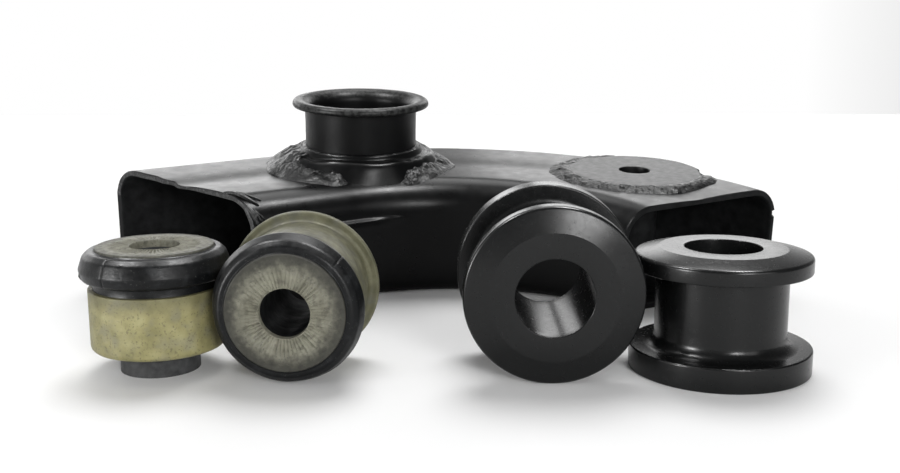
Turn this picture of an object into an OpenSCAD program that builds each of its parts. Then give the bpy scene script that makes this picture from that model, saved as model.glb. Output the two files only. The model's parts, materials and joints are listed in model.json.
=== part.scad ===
// Bent box-section control arm with its four pivot bushes laid out beside it.
// The arm lies flat on its underside. Two rubber bushes and two solid bushes stand or lie
// in front of it. Origin: on the floor, in the middle of the whole set. +Z is up and +Y
// points to the outside of the bend.

/* [Arm tube] */
// Width of the box section across the bend
arm_w = 82.7; // [80:0.1:84]
// Wall thickness of the tube
arm_wall = 2.5; // [2:0.1:3]
// Outer radius of the two long top corners
arm_corner_r = 13; // [11:1:16]
// Radius of the bend, measured at the middle of the section
bend_r = 119.8; // [118:0.1:121]
// Angle of the bend left of the middle
bend_left = 31; // [29:0.5:33]
// Angle of the bend right of the middle
bend_right = 59.5; // [58:0.5:60]
// Length of the straight left leg along its middle
leg_length = 61; // [57:0.1:62]
// Slant of the left leg's open end
leg_end_slant = 21.6; // [18:0.1:24]
// Height of the top face above the origin
top_z = 46; // [45:0.1:48]
// Backward rise of the top face
top_rise = 5.54; // [5:0.01:6]
// Sideways fall of the top face
top_fall = 1.2; // [1:0.1:1.4]

/* [Bush collar] */
// Radius of the bore that takes a bush
collar_bore_r = 22; // [21.9:0.05:22.1]
// Outer radius of the collar
collar_r = 24.8; // [24.5:0.1:25]
// Radius of the rolled lip
lip_r = 30.2; // [29.5:0.1:31]
// Thickness of the rolled lip
lip_t = 3.3; // [3:0.1:3.6]
// Height of the collar above the top face
collar_h = 29.8; // [29:0.1:31]
// Height of the collar's lower end above the top face
collar_foot = 3.8; // [3.5:0.1:4]
// Height of the saddle's step above the top face
saddle_h = 8; // [7.5:0.1:8.5]
// Radius of the saddle where it meets the tube
saddle_r = 36.5; // [36:0.5:37.5]
// Reach of the weld beads beyond the saddle
weld_reach = 6.5; // [5:0.5:7]
// Height of the weld beads over the tube's skin
weld_h = 2.6; // [2:0.1:3]
// Radius of the opening below the collar for a bush flange
flange_pocket_r = 31; // [30.8:0.1:31.5]

/* [Bolt boss] */
// Radius of the boss plate
boss_r = 30.8; // [30:0.1:31]
// Thickness of the boss plate
boss_t = 4; // [3.5:0.1:4.5]
// Height of the boss plate above the top face
boss_proud = 1.6; // [1.4:0.1:2]
// Radius of the bolt hole
bolt_r = 6.75; // [6.5:0.05:7]
// Outer radius of the sleeve round the bolt
sleeve_r = 11; // [10:0.5:12]

/* [Solid bushes] */
// Radius of the bore
solid_bore_r = 12.8; // [12.6:0.1:13]
// Radius of the barrel
barrel_r = 21.9; // [21.8:0.05:21.95]
// Radius of the plain flange
plain_flange_r = 30.4; // [30:0.1:30.6]
// Thickness of the plain flange
plain_flange_t = 8.2; // [8:0.1:8.4]
// Radius of the chamfered flange
cap_r = 29.3; // [29:0.1:29.6]
// Thickness of the chamfered flange
cap_t = 7.2; // [7:0.1:7.4]
// Radius of the chamfered flange's flat face
cap_face_r = 21.1; // [20.5:0.1:21.5]
// Drop of the chamfer
cap_chamfer = 2; // [1.8:0.1:2.2]
// Length of the bush over both flanges
solid_l = 41.3; // [41:0.1:41.6]
// Outer radius of the spigot under the chamfered flange
spigot_r = 16.45; // [16.4:0.01:16.47]
// Length of the spigot
spigot_l = 10; // [8:1:12]

/* [Rubber bushes] */
// Radius of the bore
rubber_bore_r = 8.25; // [8.2:0.05:8.3]
// Outer radius of the inner sleeve
inner_r = 13.2; // [13:0.1:13.4]
// Outer radius of the outer sleeve
outer_r = 22.3; // [22.2:0.05:22.35]
// Wall thickness of the outer sleeve
outer_wall = 1.7; // [1.5:0.1:2]
// Radius of the end washer
washer_r = 19.5; // [19.2:0.1:19.8]
// Thickness of the end washer
washer_t = 2.5; // [2.3:0.1:2.7]
// Radius of the rubber lip at its widest
rubber_lip_r = 24.9; // [24.6:0.1:25]
// Height of the widest point of the rubber lip
rubber_lip_z = 35.6; // [35.2:0.1:36]
// Height of the outer sleeve's upper end
sleeve_top = 28.8; // [28.4:0.1:29.2]
// Height of the plain outer sleeve's lower end
sleeve_foot = 8; // [7.6:0.1:8.4]
// Height of the flanged outer sleeve's lower end
flanged_foot = 5.3; // [5:0.1:5.6]
// Radius of the flanged outer sleeve's flange
flange_r = 25.9; // [25.6:0.1:26]
// Length of the bush over its inner sleeve and washer
rubber_l = 42.4; // [42:0.1:42.8]

/* [Hidden] */
$fn = 96;

// Running gap between pieces that turn or slide on each other
run_gap = 0.05;
// Gap between end faces of pieces that move apart
face_gap = 0.1;
// Centre of the bend, in the plane of the top face
bend_x = 4.7;
bend_y = -56.8;
// Places on the top face
collar_at = [-37.1, 56];
boss_at = [85.2, 46.1];
// Larger than any section of the arm
reach = 200;
drop = 90;
// Steps in a quarter of a rounded corner
corner_steps = 8;
// Radius of the hole under the collar, for pressing a bush out
access_r = 32;

// Frame of the top face: x and y lie in it and z leaves it
module on_top() {
    translate([0, 0, top_z]) rotate([top_rise, top_fall, 0]) children();
}

// Section of the arm, from the top face downward, with rounded top corners
module arm_section(w, top, r) {
    corner = [for (i = [0:corner_steps]) r * [sin(90 * i / corner_steps), cos(90 * i / corner_steps)]];
    right = [for (p = corner) [w / 2 - r + p[0], top - r + p[1]]];
    left = [for (i = [corner_steps:-1:0]) [-right[i][0], right[i][1]]];
    polygon(concat(left, right, [[w / 2, -drop], [-w / 2, -drop]]));
}

// The arm's path: the straight left leg, and the bend that starts where it ends
module along_arm(w, top, r, past) {
    translate([bend_x, bend_y, 0]) rotate([0, 0, 90 + bend_left]) {
        rotate_extrude(angle = -(bend_left + bend_right + past)) {
            translate([bend_r, 0]) arm_section(w, top, r);
        }
        translate([bend_r, reach / 2, 0]) rotate([90, 0, 0]) {
            linear_extrude(reach / 2) arm_section(w, top, r);
        }
    }
}

// Everything inside the arm's skin, moved out by grow, down to the floor
module arm_envelope(grow) {
    intersection() {
        on_top() along_arm(arm_w + 2 * grow, grow, arm_corner_r + grow, 0);
        translate([-reach, -reach, 0]) cube([2 * reach, 2 * reach, reach]);
    }
}

// The hollow inside the arm
module arm_hollow() {
    intersection() {
        on_top() along_arm(arm_w - 2 * arm_wall, -arm_wall, arm_corner_r - arm_wall, 2);
        translate([-reach, -reach, arm_wall]) cube([2 * reach, 2 * reach, reach]);
    }
}

// Everything beyond the left leg's slanted end
module past_leg_end() {
    on_top() translate([bend_x, bend_y, 0]) rotate([0, 0, 90 + bend_left]) {
        translate([bend_r, leg_length, 0]) rotate([0, 0, leg_end_slant]) {
            translate([-reach / 2, 0, -reach / 2]) cube([reach, reach, reach]);
        }
    }
}

module at_collar() {
    on_top() translate([collar_at[0], collar_at[1], 0]) children();
}

module at_boss() {
    on_top() translate([boss_at[0], boss_at[1], 0]) children();
}

// A straight hole or pin along the local z axis
module span(r, low, high) {
    translate([0, 0, low]) cylinder(r = r, h = high - low);
}

// A pipe along the local z axis
module pipe(r, bore, low, high) {
    difference() {
        span(r, low, high);
        span(bore, low - 1, high + 1);
    }
}

// Lowest point of the boss sleeve, measured down its axis from the top face
sleeve_low = -(top_z + 0.9) / cos(top_rise) + 1.2;
// Depth of the weld groove round the sleeve's lower end
groove = 2.2;

module arm_tube() {
    color("#17181a") difference() {
        arm_envelope(0);
        arm_hollow();
        past_leg_end();
        at_collar() span(flange_pocket_r + 0.5, -12, 12);
        at_collar() span(access_r, -drop, -30);
        at_boss() span(boss_r - 4, -6, 12);
        at_boss() span(sleeve_r, -drop, -30);
        at_boss() translate([0, 0, sleeve_low - 2]) {
            cylinder(r1 = sleeve_r + groove + 2, r2 = sleeve_r, h = groove + 2);
        }
    }
}

// Rolled collar that the bush is pressed into
module bush_collar() {
    edge = lip_t / 2;
    color("#1b1c1e") at_collar() rotate_extrude() {
        polygon([
            [collar_bore_r + 0.4, collar_foot],
            [collar_r, collar_foot],
            [collar_r, collar_h - lip_t - 0.6],
            [collar_r + 0.6, collar_h - lip_t],
            [lip_r - 0.8 * edge, collar_h - lip_t],
            [lip_r - 0.2 * edge, collar_h - 1.6 * edge],
            [lip_r, collar_h - edge],
            [lip_r - 0.3 * edge, collar_h - 0.4 * edge],
            [lip_r - edge, collar_h],
            [collar_bore_r + 1.4, collar_h],
            [collar_bore_r, collar_h - 1.4],
            [collar_bore_r, collar_foot + 0.4]
        ]);
    }
}

// Domed foot that carries the collar and wraps over the tube's long edges
module collar_saddle() {
    skirt = -9;
    color("#1b1c1e") difference() {
        at_collar() rotate_extrude() {
            polygon([
                [flange_pocket_r, skirt],
                [saddle_r, skirt],
                [saddle_r, -1],
                [saddle_r - 0.7, 1.2],
                [saddle_r - 2.6, 3.6],
                [saddle_r - 5.4, 5.6],
                [collar_r + 3, saddle_h - 0.4],
                [collar_r + 2, saddle_h],
                [collar_r, saddle_h],
                [collar_r, collar_foot],
                [flange_pocket_r, collar_foot]
            ]);
        }
        arm_envelope(0);
    }
}

// Weld bead where the collar meets the saddle's step
module collar_bead() {
    color("#202124") at_collar() rotate_extrude() {
        polygon([
            [collar_r, saddle_h],
            [collar_r + 2, saddle_h],
            [collar_r + 1.2, saddle_h + 1],
            [collar_r, saddle_h + 1.5]
        ]);
    }
}

// Weld beads round the two sides of the saddle; its front and back are left bare
module collar_weld() {
    // Start and sweep of each bead
    beads = [[140, 122], [-50, 90]];
    color("#202124") difference() {
        intersection() {
            at_collar() for (bead = beads) rotate([0, 0, bead[0]]) {
                rotate_extrude(angle = bead[1]) {
                    polygon([
                        [saddle_r, -14],
                        [saddle_r + weld_reach, -14],
                        [saddle_r + weld_reach, 1],
                        [saddle_r + weld_reach - 2, weld_h],
                        [saddle_r, weld_h]
                    ]);
                }
            }
            arm_envelope(weld_h);
        }
        arm_envelope(0);
    }
}

// Disc welded on the tube, drilled for the bolt
module boss_plate() {
    color("#232427") difference() {
        at_boss() span(boss_r, boss_proud - boss_t, boss_proud);
        at_boss() span(bolt_r, -10, 10);
        difference() {
            arm_envelope(0);
            at_boss() span(boss_r - 4, -12, 12);
        }
    }
}

// Weld round the boss plate, filling the gap where the tube's edge rolls away
module boss_weld() {
    color("#202124") difference() {
        intersection() {
            at_boss() rotate_extrude() {
                polygon([
                    [boss_r - 3.5, -14], [boss_r + 7, -14], [boss_r + 7, -2.4], [boss_r + 5.5, -0.9],
                    [boss_r + 2.5, 0.3], [boss_r, 0.5], [boss_r, boss_proud - boss_t],
                    [boss_r - 3.5, boss_proud - boss_t]
                ]);
            }
            arm_envelope(weld_h);
        }
        arm_envelope(0);
    }
}

// Sleeve that keeps the tube from being crushed by the bolt
module boss_sleeve() {
    color("#3a3b3d") at_boss() pipe(sleeve_r, bolt_r, sleeve_low, boss_proud - boss_t);
}

// Weld in the groove round the sleeve's lower end, dressed flush
module sleeve_weld() {
    color("#202124") intersection() {
        at_boss() difference() {
            translate([0, 0, sleeve_low - 2]) {
                cylinder(r1 = sleeve_r + groove + 2, r2 = sleeve_r, h = groove + 2);
            }
            span(sleeve_r, -drop, 0);
        }
        translate([0, 0, reach / 2 + 0.2]) cube([2 * reach, 2 * reach, reach], center = true);
    }
}

// Barrel of a solid bush with its plain flange, standing on the flange
module solid_barrel() {
    fillet = 3;
    steps = 6;
    root = [for (i = [0:steps]) [
        barrel_r + fillet - fillet * sin(90 * i / steps),
        plain_flange_t + fillet - fillet * cos(90 * i / steps)
    ]];
    shoulder = solid_l - cap_t;
    pocket = shoulder - spigot_l - 0.3;
    rotate_extrude() polygon(concat(
        [[solid_bore_r, 0], [plain_flange_r - 0.5, 0], [plain_flange_r, 0.5]],
        [[plain_flange_r, plain_flange_t - 0.5], [plain_flange_r - 0.5, plain_flange_t]],
        root,
        [[barrel_r, shoulder], [spigot_r + run_gap, shoulder], [spigot_r + run_gap, pocket]],
        [[solid_bore_r, pocket]]
    ));
}

// Chamfered flange that closes a solid bush, with the spigot that centres it
module solid_cap() {
    under = solid_l - cap_t + face_gap;
    rotate_extrude() polygon([
        [solid_bore_r, under - spigot_l], [spigot_r - 0.5, under - spigot_l],
        [spigot_r, under - spigot_l + 0.5], [spigot_r, under],
        [cap_r - 0.4, under], [cap_r, under + 0.4],
        [cap_r, solid_l - cap_chamfer - 0.3], [cap_r - 0.5, solid_l - cap_chamfer + 0.1],
        [cap_face_r, solid_l], [solid_bore_r, solid_l]
    ]);
}

// Outer sleeve of a rubber bush; a flange radius above zero gives it a dished flange
module outer_sleeve(foot, rim_r) {
    bore = outer_r - outer_wall;
    rotate_extrude() {
        if (rim_r > 0) {
            polygon([
                [bore, foot + 0.6], [bore + 0.6, foot], [rim_r - 0.8, foot], [rim_r, foot + 0.8],
                [rim_r, foot + 1.9], [rim_r - 0.7, foot + 2.6], [outer_r + 1.4, foot + 2],
                [outer_r, foot + 3.2], [outer_r, sleeve_top], [bore, sleeve_top]
            ]);
        } else {
            polygon([
                [bore - 1.2, foot], [outer_r - 2.2, foot], [outer_r - 1, foot + 0.35],
                [outer_r - 0.3, foot + 1.1], [outer_r, foot + 2.2], [outer_r, sleeve_top],
                [bore, sleeve_top], [bore, foot + 1.8], [bore - 1.2, foot + 1.2]
            ]);
        }
    }
}

// Rubber of a bush: the fill between the sleeves, the neck and the overhanging lip
module bush_rubber(foot) {
    bore = inner_r + run_gap;
    hold = washer_r + face_gap;
    under = rubber_l - washer_t - face_gap;
    rotate_extrude() polygon([
        [bore, foot + 3], [outer_r - outer_wall - 1, foot + 3.6],
        [outer_r - outer_wall, foot + 4.6], [outer_r - outer_wall, sleeve_top],
        [outer_r - 1.4, sleeve_top], [outer_r - 1.4, sleeve_top + 2.4],
        [rubber_lip_r - 2, sleeve_top + 3], [rubber_lip_r - 0.7, sleeve_top + 4.2],
        [rubber_lip_r, rubber_lip_z], [rubber_lip_r - 0.5, rubber_lip_z + 2],
        [rubber_lip_r - 1.6, rubber_lip_z + 3.9], [rubber_lip_r - 3.6, rubber_lip_z + 5.3],
        [hold + 0.8, rubber_l - 0.7],
        [hold, rubber_l - 0.9], [hold, under], [bore, under]
    ]);
}

module inner_sleeve() {
    pipe(inner_r, rubber_bore_r, 0, rubber_l - washer_t);
}

module end_washer() {
    pipe(washer_r, rubber_bore_r, rubber_l - washer_t, rubber_l);
}

// Rest places of the four bushes
module as_upright() {
    translate([-94.5, -80, 0]) children();
}

module as_standing() {
    translate([95, -81, 0]) children();
}

// Lying on its lip and its flange, washer end toward the front
module as_flanged() {
    near = rubber_lip_z;
    far = flanged_foot + 1.9;
    lean = asin((flange_r - rubber_lip_r) / (near - far));
    translate([-47.8, -96.5, 0]) rotate([0, 0, -3]) {
        rotate([90 + lean, 0, 0]) translate([0, rubber_lip_r, -near]) children();
    }
}

// Lying on its two flanges, chamfered flange toward the front
module as_lying() {
    near = solid_l - cap_chamfer - 0.3;
    far = plain_flange_t - 0.5;
    lean = asin((plain_flange_r - cap_r) / (near - far));
    translate([37.3, -100, 0]) rotate([0, 0, 0.9]) {
        rotate([90 + lean, 0, 0]) translate([0, cap_r, -near]) children();
    }
}

module upright_outer_sleeve() { color("#8f8a62") as_upright() outer_sleeve(sleeve_foot, 0); }
module upright_rubber() { color("#26282c") as_upright() bush_rubber(sleeve_foot); }
module upright_inner_sleeve() { color("#4a4b4b") as_upright() inner_sleeve(); }
module upright_end_washer() { color("#7d7b6c") as_upright() end_washer(); }
module flanged_outer_sleeve() { color("#8f8a62") as_flanged() outer_sleeve(flanged_foot, flange_r); }
module flanged_rubber() { color("#26282c") as_flanged() bush_rubber(flanged_foot); }
module flanged_inner_sleeve() { color("#4a4b4b") as_flanged() inner_sleeve(); }
module flanged_end_washer() { color("#7d7b6c") as_flanged() end_washer(); }
module lying_bush_barrel() { color("#1d1e20") as_lying() solid_barrel(); }
module lying_bush_cap() { color("#1d1e20") as_lying() solid_cap(); }
module standing_bush_barrel() { color("#1d1e20") as_standing() solid_barrel(); }
module standing_bush_cap() { color("#1d1e20") as_standing() solid_cap(); }

arm_tube();
bush_collar();
collar_saddle();
collar_bead();
collar_weld();
boss_plate();
boss_weld();
boss_sleeve();
sleeve_weld();
upright_outer_sleeve();
upright_rubber();
upright_inner_sleeve();
upright_end_washer();
flanged_outer_sleeve();
flanged_rubber();
flanged_inner_sleeve();
flanged_end_washer();
lying_bush_barrel();
lying_bush_cap();
standing_bush_barrel();
standing_bush_cap();
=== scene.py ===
import json
from math import acos, asin, atan2, ceil, cos, degrees, exp, hypot, pi, radians, sin, tan

import bmesh
import bpy
import numpy as np
from mathutils import Matrix, Vector, noise


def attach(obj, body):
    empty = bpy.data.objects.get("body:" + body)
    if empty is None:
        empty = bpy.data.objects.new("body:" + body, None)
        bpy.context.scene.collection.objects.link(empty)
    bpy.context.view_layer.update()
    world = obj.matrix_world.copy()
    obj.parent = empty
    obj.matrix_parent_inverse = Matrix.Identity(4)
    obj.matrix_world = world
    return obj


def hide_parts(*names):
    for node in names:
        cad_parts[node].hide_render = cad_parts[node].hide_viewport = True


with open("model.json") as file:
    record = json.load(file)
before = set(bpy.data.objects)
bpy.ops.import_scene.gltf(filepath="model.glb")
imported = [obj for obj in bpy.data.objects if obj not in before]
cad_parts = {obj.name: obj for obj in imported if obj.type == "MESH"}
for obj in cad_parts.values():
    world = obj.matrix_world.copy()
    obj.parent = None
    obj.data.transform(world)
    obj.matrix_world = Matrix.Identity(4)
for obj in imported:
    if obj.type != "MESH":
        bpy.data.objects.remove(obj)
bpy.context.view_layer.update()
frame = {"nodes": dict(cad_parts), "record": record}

# Shapes are worked out in millimetres and turned into metres when a mesh is made.
MM = 0.001
MOUNTS = {mount["name"]: mount for mount in frame["record"]["mounts"]}

# ---------------- the arm's own dimensions

# The tube's width, wall, and the outer radii of its long top and bottom corners.
ARM_WIDTH = 82.7
HALF = ARM_WIDTH / 2
WALL = 2.5
CORNER_R = 13.0
FOOT_R = 4.7

# The bend's centre on the floor, its middle radius, and how far it turns to each side of its far point.
BEND_CENTRE = (4.7, -56.8)
BEND_R = 119.8
BEND_LEFT = radians(31)
BEND_RIGHT = radians(59.5)
RIGHT_END = BEND_R * (BEND_LEFT + BEND_RIGHT)

# The straight left leg, and how far its cut leans away from square.
LEG = 61.0
LEG_SLANT = radians(21.6)

# The collar, its rolled lip, and the saddle. The stated bore starts BORE_START over the tube's top face.
COLLAR_R = 24.8
COLLAR_BORE_R = 22.0
COLLAR_H = 29.8
COLLAR_FOOT = 3.8
LIP_R = 30.2
LIP_T = 3.3
BORE_START = 4.2
SADDLE_H = 8.0
SADDLE_R = 36.5

# The holes for the bush: a pocket in the tube's top wall and an access hole in its bottom wall.
POCKET_R = 31.0
ACCESS_R = 32.0

# The boss plate, its bolt hole, the sleeve under it and the groove for the sleeve's lower weld.
BOSS_R = 30.8
BOSS_PROUD = 1.6
BOSS_T = 4.0
BOLT_R = 6.75
SLEEVE_R = 11.0
SLEEVE_GROOVE = 2.2


def bore_frame(mount_name):
    """Frame at the foot of a bore, with z along the bore and x level."""
    mount = MOUNTS[mount_name]
    z = Vector(mount["axis"]).normalized()
    foot = Vector(mount["pos_m"]) - z * (mount["dims"]["length_mm"] * MM / 2)
    x = Vector((1, 0, 0))
    x = (x - z * x.dot(z)).normalized()
    y = z.cross(x)
    turn = Matrix((x, y, z)).transposed().to_4x4()
    return Matrix.Translation(foot) @ turn


def top_frame():
    """Frame of the arm's sloping top face: x and y lie in it and z leaves it."""
    axis = Vector(MOUNTS["collar_bore"]["axis"]).normalized()
    on_face = bore_frame("collar_bore").translation - axis * (BORE_START * MM)
    rise = -asin(axis.y)
    fall = atan2(axis.x, axis.z)
    height = on_face.dot(axis) / axis.z
    return Matrix.Translation((0, 0, height)) @ Matrix.Rotation(fall, 4, "Y") @ Matrix.Rotation(rise, 4, "X")


TOP = top_frame()


def on_top(mount_name):
    """Where a bore's axis meets the top face, in that face's own millimetres."""
    local = TOP.inverted() @ bore_frame(mount_name).translation
    return local.x / MM, local.y / MM


COLLAR_AT = on_top("collar_bore")
BOSS_AT = on_top("boss_bolt_hole")
AT_COLLAR, AT_BOSS = (TOP @ Matrix.Translation((x * MM, y * MM, 0)) for x, y in (COLLAR_AT, BOSS_AT))

# ---------------- mesh tools


def smoothstep(low, high, value):
    """0 under low, 1 over high, and a smooth step between them."""
    t = np.clip((value - low) / (high - low), 0, 1)
    return t * t * (3 - 2 * t)


def add_to_scene(name, data):
    """A new object in the scene that holds this mesh, light or camera."""
    obj = bpy.data.objects.new(name, data)
    bpy.context.scene.collection.objects.link(obj)
    return obj


def make_object(name, verts_mm, faces, place, finish, sharp_deg=35):
    """A mesh object at the origin, its points given in millimetres in the frame place.

    finish is the name of its material."""
    mesh = bpy.data.meshes.new(name)
    own = [Vector([float(c) * MM for c in v]) for v in verts_mm]
    mesh.from_pydata([place @ v for v in own], [], faces)
    tidy = bmesh.new()
    tidy.from_mesh(mesh)
    bmesh.ops.recalc_face_normals(tidy, faces=tidy.faces)
    tidy.to_mesh(mesh)
    tidy.free()
    keep_own_frame(mesh, own)
    mesh.materials.append(MATERIALS[finish])
    obj = add_to_scene(name, mesh)
    shade(obj, sharp_deg)
    return obj


def keep_own_frame(mesh, own):
    """Stores where each point is in the piece's own frame, for marks that run round its axis."""
    attribute = mesh.attributes.new("own_frame", "FLOAT_VECTOR", "POINT")
    attribute.data.foreach_set("vector", [c for v in own for c in v])


def shade(obj, sharp_deg):
    """Smooth faces, with edges over sharp_deg kept sharp."""
    obj.data.polygons.foreach_set("use_smooth", [True] * len(obj.data.polygons))
    obj.data.set_sharp_from_angle(angle=radians(sharp_deg))


def rounded(corners, steps=5):
    """Outline through corners of (r, z, fillet radius), with each fillet as an arc."""
    points = []
    count = len(corners)
    for i, (r, z, fillet) in enumerate(corners):
        here = Vector((r, z))
        if fillet <= 0:
            points.append(here)
            continue
        to_before = (Vector(corners[i - 1][:2]) - here).normalized()
        to_after = (Vector(corners[(i + 1) % count][:2]) - here).normalized()
        half = acos(max(-1, min(1, to_before.dot(to_after)))) / 2
        reach = fillet / tan(half)
        start = here + to_before * reach
        end = here + to_after * reach
        centre = here + (to_before + to_after).normalized() * (fillet / sin(half))
        sweep = pi - 2 * half
        side = 1 if to_before.cross(to_after) < 0 else -1
        first = atan2(start.y - centre.y, start.x - centre.x)
        for k in range(steps + 1):
            angle = first + side * sweep * k / steps
            points.append(centre + Vector(polar(fillet, angle)))
    return points


def subdivided(points, longest):
    """The outline with extra points, so that no side is longer than longest."""
    result = []
    for i, point in enumerate(points):
        after = points[(i + 1) % len(points)]
        pieces = max(1, ceil((after - point).length / longest))
        result += [point.lerp(after, k / pieces) for k in range(pieces)]
    return result


def band(here, there, count):
    """Faces between two closed outlines of count points, whose first points are here and there."""
    faces = []
    for i in range(count):
        j = (i + 1) % count
        faces.append((here + i, here + j, there + j, there + i))
    return faces


def ring_faces(turns, count):
    """Faces that join a full turn of closed outlines, each of count points."""
    faces = []
    for k in range(turns):
        faces += band(k * count, (k + 1) % turns * count, count)
    return faces


def lathe(name, outline, place, finish, turns=192, shift=None, sharp_deg=35):
    """A closed ring turned from an outline of (r, z) points; shift moves a point by (dr, dz)."""
    verts = []
    for k in range(turns):
        angle = 2 * pi * k / turns
        for r, z in outline:
            dr, dz = shift(angle, r, z) if shift else (0, 0)
            verts.append((*polar(r + dr, angle), z + dz))
    return make_object(name, verts, ring_faces(turns, len(outline)), place, finish, sharp_deg)


def lumps(x, y, z, size, seed=0.0):
    """Smooth noise from about -1 to 1, with features about size millimetres wide."""
    return noise.noise(Vector((x / size + seed, y / size - seed, z / size + 2 * seed)))


def rough(x, y, z, size, seed=0.0):
    """Lumps with finer lumps on them."""
    coarse = lumps(x, y, z, size, seed)
    fine = lumps(x, y, z, size * 0.45, seed + 7.3)
    return coarse + 0.5 * fine


def polar(r, angle):
    """The point at radius r in the direction angle, in radians."""
    return r * cos(angle), r * sin(angle)


def hump(value, at, width):
    """1 where value is at, falling off smoothly over about width to each side."""
    return exp(-((value - at) / width) ** 2)


def degrees_off(angle, at):
    """How many degrees, from -180 to 180, an angle in radians is past at."""
    return (degrees(angle) - at + 180) % 360 - 180


def angle_window(angle, start, end, soft):
    """1 inside the arc from start to end in degrees, easing to 0 over soft degrees outside it."""
    outside = abs(degrees_off(angle, (start + end) / 2)) - (end - start) / 2
    return float(1 - smoothstep(0, soft, outside))


# ---------------- materials

# Colours are linear red, green and blue. Noise sizes and relief depths are in millimetres.


class Nodes:
    """Short calls that add shader nodes to a material or a world, and join them."""

    def __init__(self, owner, shader):
        owner.use_nodes = True
        self.nodes = owner.node_tree.nodes
        self.links = owner.node_tree.links
        self.shader = next(n for n in self.nodes if n.type == shader)

    def node(self, kind):
        return self.nodes.new("ShaderNode" + kind)

    def feed(self, socket, value):
        """Gives a socket another node's output, a colour or a number."""
        if isinstance(value, bpy.types.NodeSocket):
            self.links.new(value, socket)
        else:
            socket.default_value = (*value, 1) if isinstance(value, tuple) else value

    def carry(self, factor, start, end, first, last, curve):
        """Carries the factor's range from start to end over to the range from first to last."""
        node = self.node("MapRange")
        node.interpolation_type = curve
        limits = {"From Min": start, "From Max": end, "To Min": first, "To Max": last}
        for socket, value in limits.items():
            node.inputs[socket].default_value = value
        self.links.new(factor, node.inputs["Value"])
        return node.outputs["Result"]

    def maths(self, operation, first, second):
        node = self.node("Math")
        node.operation = operation
        self.feed(node.inputs[0], first)
        self.feed(node.inputs[1], second)
        return node.outputs[0]

    def times(self, first, second):
        return self.maths("MULTIPLY", first, second)


class Surface(Nodes):
    """A node material with one Principled shader, built up by short calls."""

    def __init__(self, name, roughness, metallic=0.0, specular=0.5):
        self.material = bpy.data.materials.new(name)
        super().__init__(self.material, "BSDF_PRINCIPLED")
        self.shader.inputs["Roughness"].default_value = roughness
        self.shader.inputs["Metallic"].default_value = metallic
        self.shader.inputs["Specular IOR Level"].default_value = specular
        self.where = self.node("TexCoord").outputs["Object"]

    def stretched(self, scale):
        """The object's coordinates scaled per axis; a smaller scale draws the noise out."""
        mapping = self.node("Mapping")
        mapping.inputs["Scale"].default_value = scale
        self.links.new(self.where, mapping.inputs["Vector"])
        return mapping.outputs["Vector"]

    def radius_and_height(self):
        """Distance in metres from the piece's own axis, and the height along it."""
        own = self.node("Attribute")
        own.attribute_name = "own_frame"
        split = self.node("SeparateXYZ")
        self.links.new(own.outputs["Vector"], split.inputs["Vector"])
        squares = [self.times(split.outputs[i], split.outputs[i]) for i in (0, 1)]
        return self.maths("POWER", self.maths("ADD", *squares), 0.5), split.outputs["Z"]

    def turning(self, pitch_mm):
        """Rings round the piece's own axis, about pitch_mm apart."""
        radius, height = self.radius_and_height()
        join = self.node("CombineXYZ")
        self.links.new(radius, join.inputs["X"])
        self.links.new(height, join.inputs["Z"])
        return self.noise(pitch_mm, 2, join.outputs["Vector"])

    def noise(self, size_mm, detail=3.0, where=None):
        """Noise whose features are about size_mm wide."""
        node = self.node("TexNoise")
        node.inputs["Scale"].default_value = 1 / (size_mm * MM)
        node.inputs["Detail"].default_value = detail
        self.links.new(where or self.where, node.inputs["Vector"])
        return node.outputs["Fac"]

    def ramp(self, factor, stops):
        """Colours along the factor, from stops of (position, colour)."""
        node = self.node("ValToRGB")
        ramp = node.color_ramp
        while len(ramp.elements) < len(stops):
            ramp.elements.new(0.5)
        for element, (position, colour) in zip(ramp.elements, stops):
            element.position = position
            element.color = (*colour, 1)
        self.links.new(factor, node.inputs["Fac"])
        return node.outputs["Color"]

    def mask(self, factor, low, high, most=1.0):
        """0 where factor is under low, most where it is over high."""
        return self.carry(factor, low, high, 0, most, "SMOOTHSTEP")

    def mix(self, factor, first, second):
        """The first colour where factor is 0, the second where it is 1."""
        node = self.node("Mix")
        node.data_type = "RGBA"
        self.feed(node.inputs[0], factor)
        self.feed(node.inputs[6], first)
        self.feed(node.inputs[7], second)
        return node.outputs[2]

    def mottle(self, size_mm, detail, dark, light):
        """Patches about size_mm wide that run from the dark colour to the light one."""
        return self.ramp(self.noise(size_mm, detail), [(0.3, dark), (0.7, light)])

    def bump(self, height, depth_mm, strength=1.0):
        """Adds a relief of depth_mm over the bumps already there."""
        node = self.node("Bump")
        node.inputs["Strength"].default_value = strength
        node.inputs["Distance"].default_value = depth_mm * MM
        self.links.new(height, node.inputs["Height"])
        normal = self.shader.inputs["Normal"]
        if normal.is_linked:
            self.links.new(normal.links[0].from_socket, node.inputs["Normal"])
        self.links.new(node.outputs["Normal"], normal)

    def colour(self, value):
        self.links.new(value, self.shader.inputs["Base Color"])

    def roughness(self, size_mm, detail, low, high):
        """Roughness that wanders from low to high in patches about size_mm wide."""
        wandering = self.carry(self.noise(size_mm, detail), 0.3, 0.7, low, high, "LINEAR")
        self.links.new(wandering, self.shader.inputs["Roughness"])


def arm_paint():
    """Satin black paint with a fine orange-peel skin and sparse dust."""
    s = Surface("arm_paint", 0.3, specular=0.13)
    dust = s.mask(s.noise(0.9, 2), 0.68, 0.78, most=0.12)
    black = s.mottle(22, 2, (0.0022, 0.0023, 0.0025), (0.0036, 0.0038, 0.0040))
    s.colour(s.mix(dust, black, (0.05, 0.05, 0.05)))
    s.roughness(5, 4, 0.27, 0.34)
    s.bump(s.noise(18, 2), 0.12, 0.5)
    s.bump(s.noise(1.2, 2), 0.022, 0.8)
    return s


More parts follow.
